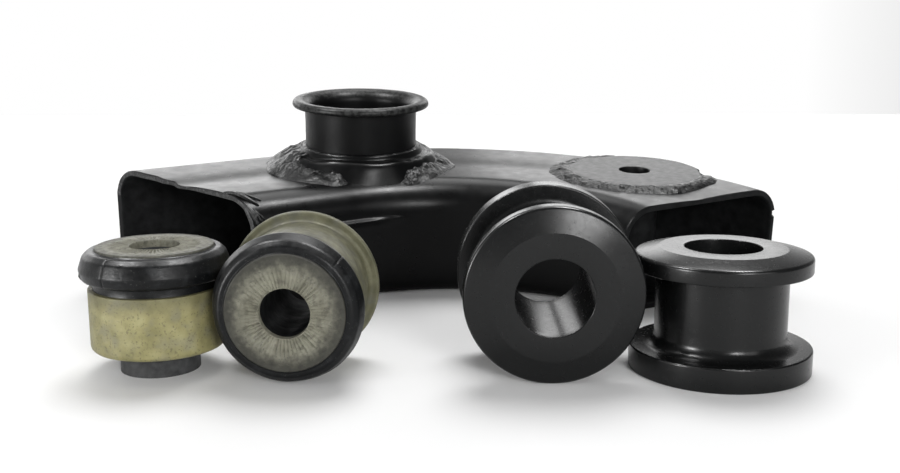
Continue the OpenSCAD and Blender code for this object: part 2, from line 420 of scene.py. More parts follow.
def collar_paint():
    """The arm's paint, worn grey and dusty over the rolled lip."""
    s = Surface("collar_paint", 0.3, specular=0.13)
    _, height = s.radius_and_height()
    wavy = s.maths("ADD", height, s.times(s.noise(2.5, 5), 0.004))
    worn = s.times(s.mask(wavy, 0.0282, 0.0300), s.mask(s.noise(1.6, 5), 0.36, 0.62))
    s.colour(s.mix(worn, (0.0030, 0.0031, 0.0033), (0.036, 0.037, 0.036)))
    s.roughness(4, 4, 0.36, 0.42)
    s.bump(s.noise(1.4, 4), 0.04, 0.8)
    return s


def dull_black():
    """Dull, dusty black, as inside the tube; on the flanged bush's inner sleeve it is painted shade that
    darkens the bore.
    """
    s = Surface("dull_black", 0.6, specular=0.04)
    s.colour(s.mottle(5, 4, (0.006, 0.0063, 0.0065), (0.014, 0.0145, 0.015)))
    s.roughness(4, 3, 0.45, 0.7)
    s.bump(s.noise(2.2, 4), 0.25, 0.7)
    return s


def cut_edge():
    """Painted cut edge, rough and rubbed grey."""
    s = Surface("cut_edge", 0.5, specular=0.3)
    rubbed = s.mask(s.noise(1.4, 4), 0.46, 0.66)
    s.colour(s.mix(rubbed, (0.008, 0.0083, 0.0086), (0.045, 0.046, 0.046)))
    s.roughness(1.2, 3, 0.34, 0.6)
    s.bump(s.noise(1.1, 4), 0.35, 0.9)
    return s


def weld_paint():
    """The same paint over lumpy, pitted weld metal."""
    s = Surface("weld_paint", 0.4, specular=0.19)
    s.colour(s.ramp(s.noise(2.5, 4), [(0.35, (0.0022, 0.0024, 0.0026)), (0.7, (0.0065, 0.0068, 0.0070))]))
    s.roughness(2.4, 4, 0.26, 0.5)
    s.bump(s.noise(2.2, 3), 0.5, 0.8)
    s.bump(s.noise(0.8, 3), 0.12, 0.8)
    return s


def boss_paint():
    """Dull grey-black paint on a flat-cut plate."""
    s = Surface("boss_paint", 0.38, specular=0.17)
    worn = s.mask(s.noise(7, 3), 0.45, 0.75)
    s.colour(s.mix(worn, (0.005, 0.0053, 0.0056), (0.009, 0.0094, 0.0096)))
    s.roughness(3, 3, 0.34, 0.42)
    s.bump(s.noise(10, 2), 0.08, 0.6)
    s.bump(s.noise(0.9, 3), 0.05, 0.8)
    return s


def bare_steel():
    """Dull dark steel, greyed by dust."""
    s = Surface("bare_steel", 0.5, specular=0.15)
    s.colour(s.mottle(2.4, 4, (0.034, 0.035, 0.036), (0.066, 0.067, 0.068)))
    s.roughness(1.2, 3, 0.45, 0.65)
    s.bump(s.noise(0.8, 3), 0.03, 0.6)
    return s


def zinc(name, shades, grime):
    """Olive-yellow passivated zinc, speckled and dusty, with a share of grey-brown grime, and painted shade
    that darkens it towards the top, under the rubber lip.
    """
    s = Surface(name, 0.5, metallic=0.1, specular=0.25)
    specks = s.mask(s.noise(0.8, 4), 0.56, 0.68, most=0.55)
    olive = s.ramp(s.noise(5, 5), list(zip((0.3, 0.55, 0.75), shades)))
    worn = s.mask(s.noise(6, 6), 0.46, 0.72, most=0.6)
    greyed = s.mix(worn, olive, grime)
    _, height = s.radius_and_height()
    # Painted shade: darker olive towards the sleeve's top, where the rubber lip overhangs it.
    painted_shade_under_lip = s.mask(height, 0.0215, 0.0290, most=0.55)
    darker = s.mix(painted_shade_under_lip, greyed, (0.075, 0.072, 0.045))
    s.colour(s.mix(specks, darker, (0.10, 0.09, 0.055)))
    s.roughness(2, 4, 0.42, 0.62)
    s.bump(s.noise(0.7, 3), 0.05, 0.8)
    return s


def zinc_sleeve():
    """The upright bush's sleeve."""
    shades = ((0.20, 0.184, 0.083), (0.28, 0.258, 0.12), (0.34, 0.318, 0.162))
    return zinc("zinc_sleeve", shades, (0.20, 0.192, 0.135))


def grimy_and_shaded_zinc():
    """The lying bush's sleeve, greyer and darker: partly grime, partly painted shade for a sleeve that lies
    in the shade of its lip and flange.
    """
    shades = ((0.085, 0.084, 0.048), (0.13, 0.127, 0.078), (0.19, 0.186, 0.12))
    return zinc("grimy_and_shaded_zinc", shades, (0.085, 0.086, 0.073))


def rubber():
    """Blue-black moulded rubber with dust and light scuffs."""
    s = Surface("rubber", 0.4, specular=0.19)
    dust = s.mask(s.noise(3.5, 6), 0.52, 0.74, most=0.4)
    flecks = s.mask(s.noise(0.6, 3), 0.64, 0.72, most=0.3)
    base = s.mottle(8, 3, (0.0022, 0.0025, 0.0028), (0.0050, 0.0055, 0.0060))
    dusty = s.mix(dust, base, (0.028, 0.030, 0.032))
    s.colour(s.mix(flecks, dusty, (0.12, 0.12, 0.115)))
    s.roughness(2, 5, 0.30, 0.44)
    s.bump(s.noise(0.9, 4), 0.07, 0.8)
    return s


def washer_metal(name, clean_to):
    """Grey-olive metal under grime, which thickens beyond clean_to millimetres from the axis."""
    s = Surface(name, 0.6, specular=0.15)
    grime = s.mask(s.noise(2.0, 6), 0.46, 0.68, most=0.6)
    spots = s.mask(s.noise(0.7, 3), 0.62, 0.70, most=0.5)
    base = s.mottle(5, 4, (0.160, 0.156, 0.120), (0.240, 0.236, 0.185))
    grimy = s.mix(grime, base, (0.080, 0.076, 0.060))
    radius, _ = s.radius_and_height()
    ragged = s.maths("ADD", radius, s.times(s.noise(1.6, 5), 0.005))
    outer = s.mask(ragged, (clean_to + 2) * MM, (clean_to + 8.5) * MM, most=0.85)
    edged = s.mix(outer, grimy, (0.022, 0.022, 0.020))
    s.colour(s.mix(spots, edged, (0.030, 0.028, 0.024)))
    s.roughness(1.5, 4, 0.45, 0.68)
    s.bump(s.noise(0.9, 4), 0.09, 0.9)
    return s


def end_washer():
    """The upright bush's washer."""
    return washer_metal("end_washer", 15.5)


def grimy_washer():
    """The lying bush's washer, with a wider dark rim."""
    return washer_metal("grimy_washer", 12.5)


def black_bush():
    """Black machined plastic with faint turning marks and scuffs."""
    s = Surface("black_bush", 0.22, specular=0.24)
    scuffs = s.mask(s.noise(0.9, 6, s.stretched((1, 0.5, 0.3))), 0.62, 0.74, most=0.03)
    rings = s.turning(0.5)
    s.colour(s.mix(scuffs, (0.0056, 0.0059, 0.0060), (0.07, 0.07, 0.07)))
    s.roughness(1.5, 5, 0.22, 0.28)
    s.bump(rings, 0.007, 0.6)
    s.bump(s.noise(0.8, 3), 0.003, 0.6)
    return s


def floor_paint():
    """Matt white, with hardly any variation."""
    s = Surface("floor_paint", 0.7, specular=0.2)
    s.colour(s.mottle(300, 2, (0.94, 0.94, 0.94), (0.95, 0.95, 0.95)))
    return s


FINISHES = (
    arm_paint, collar_paint, dull_black, cut_edge, weld_paint, boss_paint, bare_steel,
    zinc_sleeve, grimy_and_shaded_zinc, rubber, end_washer, grimy_washer, black_bush,
)
MATERIALS = {finish.__name__: finish().material for finish in FINISHES}

# ---------------- the arm tube

# How far each end is trimmed back, and how far its cut wanders.
LEFT_TRIM, LEFT_WANDER = 0.4, 0.4
RIGHT_TRIM, RIGHT_WANDER = 0.2, 0.15

# Rows of mesh near each end, by distance from it, and the rows shared out between them.
EDGE_ROWS = (0, 0.15, 0.45, 1.0, 1.8, 2.8, 4.0)
MIDDLE_ROWS = 230

# The cut edges are rounded over EDGE_REACH along the tube, by EDGE_DEPTH of that into its skin.
EDGE_REACH = 0.45
EDGE_DEPTH = 0.7

# Order of the tube's material slots.
PAINTED, DULL, CUT = 0, 1, 2


def arm_point(s, u, z):
    """Point at length s along the arm, u out across it and z above its top face."""
    turn = np.maximum(s, 0) / BEND_R - BEND_LEFT
    along = np.minimum(s, 0)
    out_x, out_y = np.sin(turn), np.cos(turn)
    x = BEND_CENTRE[0] + (BEND_R + u) * out_x + along * out_y
    y = BEND_CENTRE[1] + (BEND_R + u) * out_y - along * out_x
    return x, y, z + 0 * x


def over_floor(x, y, height):
    """The z, in the top face's frame, that is height above the floor at x, y."""
    row = TOP[2]
    return (height - row[3] / MM - row[0] * x - row[1] * y) / row[2]


def section(inset):
    """Half of the tube's outline as (u, height over floor, z, share of z), bottom to top middle.

    Low points follow the floor, high ones the sloping top face, and share blends the two up the
    side. The points crowd towards the top corner."""
    half = HALF - inset
    top_r = CORNER_R - inset
    foot_r = max(FOOT_R - inset, 2.2)
    points = [(u, inset, 0, 0) for u in np.linspace(0, half - foot_r, 9)[:-1]]
    for a in np.linspace(0, pi / 2, 6):
        points.append((half - foot_r + foot_r * sin(a), inset + foot_r * (1 - cos(a)), 0, 0))
    for share in 1 - np.linspace(1, 0, 44)[1:-1] ** 1.5:
        points.append((half, inset + foot_r, -inset - top_r, share))
    for a in pi / 2 * np.linspace(0, 1, 19) ** 1.4:
        points.append((half - top_r + top_r * cos(a), 0, -inset - top_r + top_r * sin(a), 1))
    points += [(u, 0, -inset, 1) for u in np.linspace(half - top_r, 0, 14)[1:]]
    return points


def full_section(inset):
    """The whole outline, once round from the bottom's middle by the outer side."""
    outer = section(inset)
    inner = [(-u, h, z, share) for u, h, z, share in outer[1:-1]][::-1]
    return np.array(outer + inner)


def left_end(u):
    """Length along the arm of the left end's straight, slanted cut."""
    return -(LEG + u * tan(LEG_SLANT))


def wander(u, h, z, share, seed, depth):
    """How far a cut wanders along the arm at each point of the outline."""
    under_top = 40
    height = np.where(share > 0, z, h - under_top)
    return np.array([depth * rough(a, b, 0, 6, seed) for a, b in zip(u, height)])


def skin_rows(left, right):
    """Rows along the tube from end to end, each with how much its edge's rounding takes off."""
    near = [(d, max(0, EDGE_REACH - d)) for d in EDGE_ROWS]
    first, last = left + EDGE_ROWS[-1], right - EDGE_ROWS[-1]
    rows = [(left + d, worn) for d, worn in near]
    rows += [(first * (1 - t) + last * t, 0) for t in np.linspace(0, 1, MIDDLE_ROWS + 2)[1:-1]]
    rows += [(right - d, worn) for d, worn in near[::-1]]
    return rows


def tube_skin(inset):
    """Grid of points over one skin of the tube: rows along the arm, columns round it."""
    u, h, z, share = full_section(inset).T
    left = left_end(u) + LEFT_TRIM + wander(u, h, z, share, 3.1, LEFT_WANDER) - burr(u, share)
    right = RIGHT_END - RIGHT_TRIM + wander(u, h, z, share, 9.4, RIGHT_WANDER) - notch(u, z, share)
    inward = EDGE_DEPTH if inset == 0 else -EDGE_DEPTH
    grid = []
    for s, worn in skin_rows(left, right):
        ease = inward * worn
        across = u * (1 - ease / HALF)
        x, y, _ = arm_point(s, across, 0)
        low = over_floor(x, y, h + ease)
        high = z - ease
        if inset == 0:
            high = high - valley(s, u) * share
        depth = low * (1 - share) + high * share
        if inset == 0:
            across = across + crease(s, u, depth)
            x, y, _ = arm_point(s, across, 0)
        grid.append(np.stack([x, y, depth], 1))
    return np.array(grid)


def burr(u, share):
    """How far the two torn lumps on the left end's top edge stand out: a broad one and a thin one."""
    broad = 1.6 * np.exp(-((u + 1) / 3.4) ** 4)
    thin = 1.1 * np.exp(-((u - 10) / 1.6) ** 2)
    return share * (broad + thin)


def notch(u, z, share):
    """Small nick in the right end's edge, under the outer top corner."""
    low = smoothstep(-13.2, -12.4, z) * (1 - smoothstep(-10.6, -9.8, z))
    return share * low * smoothstep(HALF - 3.0, HALF - 1.5, u)


def valley(s, u):
    """Depth of the shallow valley along the top, deeper on the left."""
    depth = 0.45 + 0.4 * (1 - smoothstep(90, 150, s))
    return depth * np.exp(-((u + 3) / 9) ** 2)


def crease(s, u, depth):
    """Small outward fold on the front face, left of the middle, steeper on its upper side."""
    stands_out = 1.9 * smoothstep(-46, -12, s) * (1 - smoothstep(2, 40, s))
    over_fold = depth + 14.6
    width = np.where(over_fold > 0, 0.7, 1.8)
    on_front = np.where(u < -HALF + 2, 1.0, 0)
    return -on_front * stands_out * np.exp(-(over_fold / width) ** 2)


def cutter(low, high, r_low, r_high, place):
    """A straight or tapered plug from low to high along place's z, to cut a hole with."""
    mesh = bpy.data.meshes.new("cutter")
    plug = bmesh.new()
    middle = Matrix.Translation((0, 0, (low + high) / 2 * MM))
    bmesh.ops.create_cone(plug, cap_ends=True, segments=96, radius1=r_low * MM, radius2=r_high * MM,
                          depth=(high - low) * MM, matrix=middle)
    plug.to_mesh(mesh)
    plug.free()
    obj = add_to_scene("cutter", mesh)
    obj.matrix_world = place
    return obj


def cut(obj, cutters):
    """Cuts the plugs out of obj and removes them."""
    for plug in cutters:
        hole = obj.modifiers.new("hole", "BOOLEAN")
        hole.operation = "DIFFERENCE"
        hole.solver = "EXACT"
        hole.object = plug
    bpy.context.view_layer.update()
    shape = bpy.data.meshes.new_from_object(obj.evaluated_get(bpy.context.evaluated_depsgraph_get()))
    obj.modifiers.clear()
    obj.data = shape
    for plug in cutters:
        bpy.data.objects.remove(plug)


# Slivers torn from the left end's front corner: distance from the end at the start and at the finish,
# lift, half width, and the run over the corner in degrees from the top face down to the front face.
SLIVERS = (
    (0.5, 5.2, 1.5, 0.55, -14, 44),
    (1.9, 7.6, 0.9, 0.40, -8, 34),
    (0.6, 2.2, 1.0, 0.45, 36, 84),
    (1.5, 4.4, 1.0, 0.32, 46, 80),
    (2.3, 6.0, 0.8, 0.26, 50, 74),
)


def add_sliver(verts, faces, from_end, to_end, lift, half_width, start, end):
    """Adds a thin closed sliver that peels away from the left end over its front top corner."""
    steps = 14
    root, crest = -0.4, 0.7
    first = len(verts)
    for i in range(steps + 1):
        t = i / steps
        bulge = sin(pi * t)
        a = radians(start + (end - start) * t)
        width = half_width * (0.25 + bulge) * (1 + 0.4 * lumps(i, from_end, 0, 3, 4))
        back = from_end + (to_end - from_end) * t * t + 0.4 * lumps(t * 9, from_end, 0, 2, 1)
        for side, height in ((-1, root), (1, root), (1, crest), (-1, crest)):
            r = CORNER_R + lift * bulge * 0.6 + height
            u = -(HALF - CORNER_R) - r * sin(a)
            z = -CORNER_R + r * cos(a)
            verts.append(arm_point(left_end(u) + back + side * width, u, z))
    for i in range(steps):
        faces += band(first + 4 * i, first + 4 * (i + 1), 4)
    last = first + 4 * steps
    faces.append((first, first + 1, first + 2, first + 3))
    faces.append((last + 3, last + 2, last + 1, last))


def add_slivers(tube):
    """Joins the torn slivers to the tube's mesh, as cut edge."""
    verts, faces = [], []
    for sliver in SLIVERS:
        add_sliver(verts, faces, *sliver)
    extra = make_object("slivers", verts, faces, TOP, "cut_edge")
    joined = bmesh.new()
    joined.from_mesh(tube.data)
    before = len(joined.faces)
    joined.from_mesh(extra.data)
    joined.faces.ensure_lookup_table()
    for face in joined.faces[before:]:
        face.material_index = CUT
    joined.to_mesh(tube.data)
    joined.free()
    bpy.data.objects.remove(extra)


def tube_faces(rows, count):
    """Faces of the outer skin, the inner skin, the left rim and the right rim, in that order."""
    faces = []
    for skin in (0, rows * count):
        for j in range(rows - 1):
            faces += band(skin + j * count, skin + (j + 1) * count, count)
    for j in (0, rows - 1):
        faces += band(j * count, (rows + j) * count, count)
    return faces


def paint_tube(tube, rows, count):
    """Dull paint on the inner skin and the right rim, and cut metal on the left rim's top stretch."""
    tube.data.materials.append(MATERIALS["dull_black"])
    tube.data.materials.append(MATERIALS["cut_edge"])
    inner_skin = (rows - 1) * count
    left_rim = 2 * inner_skin
    right_rim = left_rim + count
    share = full_section(0)[:, 3]
    for face in tube.data.polygons:
        if left_rim <= face.index < right_rim:
            face.material_index = CUT if share[face.index - left_rim] == 1 else PAINTED
        elif face.index >= inner_skin:
            face.material_index = DULL


def cut_openings(tube):
    """Cuts the collar's pocket, the access hole, and the holes for the boss, its sleeve and its weld."""
    over, under, between_walls = 12, -60, -30
    weld_top = over_floor(BOSS_AT[0], BOSS_AT[1], 1.2) + SLEEVE_GROOVE
    weld_foot = weld_top - SLEEVE_GROOVE - 2
    cut(tube, [
        cutter(-12, over, POCKET_R + 0.5, POCKET_R + 0.5, AT_COLLAR),
        cutter(under, between_walls, ACCESS_R, ACCESS_R, AT_COLLAR),
        cutter(-6, over, BOSS_R - 4, BOSS_R - 4, AT_BOSS),
        cutter(under, between_walls, SLEEVE_R, SLEEVE_R, AT_BOSS),
        cutter(weld_foot, weld_top, SLEEVE_R + SLEEVE_GROOVE + 2, SLEEVE_R, AT_BOSS),
    ])


def make_arm_tube():
    """The bent tube: two skins joined at the rims, with its holes cut and its torn slivers added."""
    outside, inside = tube_skin(0), tube_skin(WALL)
    rows, count = outside.shape[:2]
    verts = np.concatenate([outside.reshape(-1, 3), inside.reshape(-1, 3)])
    tube = make_object("arm_skin", verts, tube_faces(rows, count), TOP, "arm_paint")
    paint_tube(tube, rows, count)
    cut_openings(tube)
    add_slivers(tube)
    shade(tube, 35)
    return tube


# ---------------- pieces welded on the arm


def skin_point(x, y):
    """Point and normal on the tube's skin, with the flat sheet x, y folded over the long edges."""
    dx, dy = x - BEND_CENTRE[0], y - BEND_CENTRE[1]
    turn = atan2(dx, dy)
    out_x, out_y = sin(-BEND_LEFT), cos(-BEND_LEFT)
    if turn < -BEND_LEFT:
        s = dx * out_y - dy * out_x
        w = dx * out_x + dy * out_y - BEND_R
    else:
        s = (turn + BEND_LEFT) * BEND_R
        w = hypot(dx, dy) - BEND_R
        out_x, out_y = sin(turn), cos(turn)
    side = 1 if w > 0 else -1
    flat = HALF - CORNER_R
    past = max(abs(w) - flat, 0)
    a = min(past / CORNER_R, pi / 2)
    u = side * (min(abs(w), flat) + CORNER_R * sin(a))
    z = -CORNER_R * (1 - cos(a)) - max(past - CORNER_R * pi / 2, 0)
    normal = Vector((side * sin(a) * out_x, side * sin(a) * out_y, cos(a)))
    return Vector([float(c) for c in arm_point(s, u, z)]), normal


def bezier(a, b, c, t):
    """Point at t from 0 to 1 on the curve that leaves a towards b and ends at c."""
    return a * (1 - t) ** 2 + b * 2 * t * (1 - t) + c * t * t


def skirt(name, centre, ring, steps, relief, finish, turns=240):
    """A closed ring laid from a round edge down to the tube's skin, and sunk a little into it.

    ring(angle) gives the edge's radius and height, the reach beyond it, and the crown's height.
    relief(angle, t, point) lifts a point that is t of the way down by that many millimetres."""
    sink = 0.4
    cx, cy = centre
    verts = []
    for k in range(turns):
        angle = 2 * pi * k / turns
        way = Vector((cos(angle), sin(angle), 0))
        r, z, reach, crown = ring(angle)
        edge = Vector((cx, cy, 0)) + way * r + Vector((0, 0, z))
        foot, normal = skin_point(cx + way.x * (r + reach), cy + way.y * (r + reach))
        mid, mid_normal = skin_point(cx + way.x * (r + reach * 0.45), cy + way.y * (r + reach * 0.45))
        control = mid + mid_normal * crown
        for i in range(steps + 1):
            t = i / steps
            point = bezier(edge, control, foot - normal * sink, t)
            point += relief(angle, t, point) * (normal * t + Vector((0, 0, 1)) * (1 - t))
            verts.append(point)
        verts.append(foot - normal * (sink + 1.2))
        verts.append(edge - way * 2.5 - Vector((0, 0, 2.5)))
    per_turn = steps + 3
    return make_object(name, verts, ring_faces(turns, per_turn), TOP, finish, 60)


def make_collar():
    """The collar, its mouth rolled over into a rounded lip."""
    outline = rounded([
        (COLLAR_BORE_R, COLLAR_FOOT, 0.4), (COLLAR_R, COLLAR_FOOT, 0),
        (COLLAR_R, COLLAR_H - LIP_T, 1.0), (LIP_R, COLLAR_H - LIP_T, 1.2),
        (LIP_R, COLLAR_H, 2.0), (COLLAR_BORE_R, COLLAR_H, 5.4),
    ], 10)

    def shift(angle, r, z):
        x, y = polar(r, angle)
        if r < COLLAR_R - 1 and z < COLLAR_H - 6:
            return 0, 0
        out = 0.12 * lumps(x, y, z, 14, 2.2) + 0.04 * lumps(x, y, z, 3, 6.1) - 0.1
        return min(out, 0), 0.06 * lumps(x, y, z, 8, 5.1) - 0.07 if z > COLLAR_H - 3 else 0

    smooth = subdivided(outline, 2)
    return lathe("bush_collar_turned", smooth, AT_COLLAR, "collar_paint", turns=320, shift=shift)


def make_saddle():
    """The domed foot under the collar: a rounded step ring, a dip, then the shoulder."""
    def ring(angle):
        return COLLAR_R + 1.4, SADDLE_H, SADDLE_R - COLLAR_R - 1.4, 10.5

    def relief(angle, t, p):
        under_welds = angle_window(angle, 150, 235, 20) + angle_window(angle, -40, 30, 20)
        step = 0.9 * hump(t, 0.06, 0.05) - 0.9 * hump(t, 0.2, 0.07)
        shoulder = 1.1 * hump(t, 0.62, 0.17) - 0.7 * hump(t, 0.36, 0.10)
        soft = 0.08 * lumps(p.x, p.y, p.z, 9, 3.3)
        sunk = under_welds * (0.3 * rough(p.x, p.y, p.z, 5, 1.7) - 1.4)
        return step + shoulder + (soft + sunk) * sin(pi * t)

    return skirt("collar_saddle_domed", COLLAR_AT, ring, 36, relief, "arm_paint")


def make_collar_bead():
    """The thin bead where the collar meets the saddle's step ring."""
    outline = rounded([
        (COLLAR_R - 0.6, SADDLE_H - 1.2, 0), (COLLAR_R + 2.0, SADDLE_H - 1.2, 0),
        (COLLAR_R + 1.9, SADDLE_H + 0.4, 0.8), (COLLAR_R + 0.9, SADDLE_H + 1.2, 0.6),
        (COLLAR_R - 0.6, SADDLE_H + 1.4, 0),
    ], 4)

    def shift(angle, r, z):
        x, y = polar(r, angle)
        amount = 0.16 * rough(x, y, z, 3.5, 4.4)
        return amount if r > COLLAR_R + 0.5 else 0, amount

    return lathe("collar_bead_laid", outline, AT_COLLAR, "weld_paint", turns=320, shift=shift, sharp_deg=60)


# Where the saddle's two beads lie round the collar: start, end and softness in degrees.
LEFT_BEAD = (148, 258, 14)
RIGHT_BEAD = (-48, 32, 16)


def make_collar_weld():
    """Lumpy beads over both sides of the saddle; in front and behind the ring hides under it."""
    def ring(angle):
        left, right = angle_window(angle, *LEFT_BEAD), angle_window(angle, *RIGHT_BEAD)
        low = angle_window(angle, 230, 280, 12)
        x, y = polar(SADDLE_R, angle)
        ragged = lumps(x, y, 0, 10, 6.6)
        uneven = 0.8 * max(left, right) * lumps(x, y, 0, 9, 2.4)
        lap = 2.5 + left * (6.8 - 3.2 * low) + right * 5.0 - uneven
        height = -3.0 + left * (10.9 - 3.9 * low) + right * 6.6
        spread = 0.6 + left * (6.0 + 2.0 * ragged) + right * (4.6 + 1.6 * ragged)
        crown = -1.5 + left * (8.0 - 2.2 * low) + right * 6.2
        return SADDLE_R - lap, height, lap + spread, crown

    def relief(angle, t, p):
        share = max(angle_window(angle, *LEFT_BEAD), angle_window(angle, *RIGHT_BEAD))
        coarse = 1.1 * lumps(p.x, p.y, p.z, 7.5, 3.9) + 0.9 * lumps(p.x, p.y, p.z, 3.8, 1.3)
        fine = 0.5 * lumps(p.x, p.y, p.z, 1.9, 8.8) + 0.25 * lumps(p.x, p.y, p.z, 1.1, 2.8)
        return share * share * (coarse + fine) * sin(pi * min(1, 0.12 + t)) ** 0.8

    return skirt("collar_weld_laid", COLLAR_AT, ring, 22, relief, "weld_paint", turns=420)


def make_boss():
    """The boss plate, its edge eaten a little by the weld, with a step where the edge is bare."""
    outline = rounded([
        (BOLT_R, BOSS_PROUD - BOSS_T, 0), (BOSS_R - 0.6, BOSS_PROUD - BOSS_T, 0),
        (BOSS_R - 0.4, BOSS_PROUD, 1.0), (BOLT_R, BOSS_PROUD, 0.4),
    ], 4)

    def shift(angle, r, z):
        x, y = polar(r, angle)
        if r < BOLT_R + 1:
            return 0, 0
        step = 0.9 * angle_window(angle, -13, 5, 3)
        edge = 0.3 * rough(x, y, 0, 6, 2.8) - 0.3 - step if r > BOSS_R - 2.5 else 0
        return edge, 0.04 * lumps(x, y, 0, 14, 7.7) - 0.05 if z > 0 else 0

    return lathe("boss_plate_cut", subdivided(outline, 2.2), AT_BOSS, "boss_paint", turns=320, shift=shift)


def make_boss_weld():
    """Uneven bead round the boss plate that laps over its edge, except for a short bare stretch."""
    def ring(angle):
        x, y = polar(BOSS_R, angle)
        ragged = rough(x, y, 0, 8, 4.9)
        lap = 2.2 + 1.2 * lumps(x, y, 0, 5, 3.1) + 0.5 * lumps(x, y, 0, 1.8, 5.1)
        brushed = angle_window(angle, 150, 215, 18)
        bare = angle_window(angle, -15, 9, 5)
        lap *= 1 - bare
        height = BOSS_PROUD - 0.05 - 2.0 * bare
        spread = 5.6 + 1.2 * ragged + 1.2 * brushed
        crown = 2.5 - 0.6 * brushed - 1.5 * bare
        return BOSS_R - lap, height, lap + spread, crown

    def relief(angle, t, p):
        pitted = angle_window(angle, 205, 262, 12)
        pits = 2.2 * pitted * max(0.0, lumps(p.x, p.y, p.z, 3.0, 9.9) - 0.15)
        coarse = 0.55 * rough(p.x, p.y, p.z, 5.0, 5.5)
        fine = 0.2 * rough(p.x, p.y, p.z, 1.6, 2.5)
        return (coarse + fine - pits) * sin(pi * min(1, t * 1.05)) ** 0.7

    return skirt("boss_weld_laid", BOSS_AT, ring, 20, relief, "weld_paint", turns=480)


# ---------------- rubber bushes

RUBBER_L = MOUNTS["upright_bush_bore"]["dims"]["length_mm"]
RUBBER_BORE_R = MOUNTS["upright_bush_bore"]["dims"]["r_mm"]
WASHER_R = 19.5
WASHER_T = 2.5
INNER_R = 13.2
OUTER_R = 22.3
OUTER_WALL = 1.7
SLEEVE_TOP = 28.8
LIP_OUT_R = 24.9
LIP_Z = 35.6
TEETH = 60


def make_outer_sleeve(name, place, foot, flange_r):
    """The outer sleeve, with a foot flange of radius flange_r or, if that is 0, a turned-in foot."""
    bore = OUTER_R - OUTER_WALL
    if flange_r:
        corners = [
            (bore, foot, 0.5), (flange_r - 0.1, foot, 0.8), (flange_r, foot + 2.5, 0.8),
            (OUTER_R, foot + 2.1, 1.6), (OUTER_R, SLEEVE_TOP, 0.3), (bore, SLEEVE_TOP, 0),
        ]
    else:
        corners = [
            (bore - 1.2, foot, 0), (OUTER_R, foot, 1.9), (OUTER_R, SLEEVE_TOP, 0.3),
            (bore, SLEEVE_TOP, 0), (bore, foot + 1.5, 0.8), (bore - 1.2, foot + 1.2, 0),
        ]
    # The flanged sleeve takes the darker zinc copy: partly grime, partly painted shade.
    finish = "grimy_and_shaded_zinc" if flange_r else "zinc_sleeve"
    return lathe(name, subdivided(rounded(corners, 6), 3), place, finish)


def make_rubber(name, place, foot, seed, crack_deg, nub_deg):
    """The fill between the sleeves, the narrow neck and the overhanging tyre-like lip.

    crack_deg and nub_deg say where round the lip the split and the moulding's nub are."""
    hold = WASHER_R + 0.1
    under = RUBBER_L - WASHER_T - 0.1
    neck_r = OUTER_R - 1.6
    outline = rounded([
        (INNER_R + 0.05, foot + 3, 0), (OUTER_R - OUTER_WALL, foot + 3.6, 0.8),
        (OUTER_R - OUTER_WALL, SLEEVE_TOP, 0), (neck_r, SLEEVE_TOP, 0),
        (neck_r, SLEEVE_TOP + 3.0, 0.9), (LIP_OUT_R - 0.7, SLEEVE_TOP + 3.4, 1.5),
        (LIP_OUT_R + 0.1, LIP_Z, 2.2), (LIP_OUT_R - 1.3, LIP_Z + 4.2, 2.6),
        (hold + 2.0, RUBBER_L - 0.8, 1.6), (hold + 0.6, RUBBER_L - 1.0, 0.4),
        (hold, RUBBER_L - 0.7, 0), (hold, under, 0), (INNER_R + 0.05, under, 0),
    ], 8)

    def shift(angle, r, z):
        if r < WASHER_R + 0.4 or z < SLEEVE_TOP + 1:
            return 0, 0
        x, y = polar(r, angle)
        wave = 0.12 * lumps(x, y, z, 12, seed) + 0.03 * lumps(x, y, z, 2.5, seed + 3)
        crack = 0.25 * hump(degrees_off(angle, crack_deg), 0, 0.6) if z > LIP_Z - 3 else 0
        nub = 0.5 * hump(degrees_off(angle, nub_deg), 0, 1.6) * hump(z, LIP_Z - 1.8, 0.8)
        return min(wave, 0.1) - 0.15 - crack + nub, 0.4 * wave - 0.1

    return lathe(name, subdivided(outline, 1.1), place, "rubber", turns=440, shift=shift, sharp_deg=50)


def make_washer(name, place, finish, seed):
    """A flat ring whose face carries uneven radial teeth round the bore."""
    teeth_r = RUBBER_BORE_R + 0.62 * (WASHER_R - RUBBER_BORE_R)
    outline = rounded([
        (RUBBER_BORE_R, RUBBER_L - WASHER_T, 0), (WASHER_R, RUBBER_L - WASHER_T, 0),
        (WASHER_R, RUBBER_L, 0.6), (RUBBER_BORE_R, RUBBER_L, 0.35),
    ], 5)
    rim_r = WASHER_R - 1.7

    def shift(angle, r, z):
        if z < RUBBER_L - 0.01:
            return 0, 0
        turn = angle * TEETH / (2 * pi)
        number = int(turn)
        longer = 1.6 * lumps(number * 1.7, seed, 0, 1, seed)
        deeper = 1 + 0.8 * lumps(number * 2.3, 0, seed, 1, seed + 2)
        share = float(1 - smoothstep(teeth_r - 2.4 + longer, teeth_r + 0.8 + longer, r))
        tooth = abs(turn % 1 - 0.5) * 2
        groove = 0.5 * deeper * share * (1 - tooth) ** 1.2
        rim_line = 0.12 * hump(r, rim_r, 0.25)
        dent = 0.08 * lumps(*polar(r, angle), 0, 4, seed)
        return 0, dent - groove - rim_line - 0.08

    return lathe(name, subdivided(outline, 0.45), place, finish, turns=TEETH * 10, shift=shift, sharp_deg=70)


# ---------------- solid bushes

SOLID_L = MOUNTS["standing_bush_bore"]["dims"]["length_mm"]
SOLID_BORE_R = MOUNTS["standing_bush_bore"]["dims"]["r_mm"]
BARREL_R = 21.9
PLAIN_FLANGE_R = 30.4
PLAIN_FLANGE_T = 8.2
CAP_R = 29.3
CAP_T = 7.2
CAP_FACE_R = 21.1
CAP_CHAMFER = 2.0
SPIGOT_R = 16.45
SPIGOT_L = 10.0


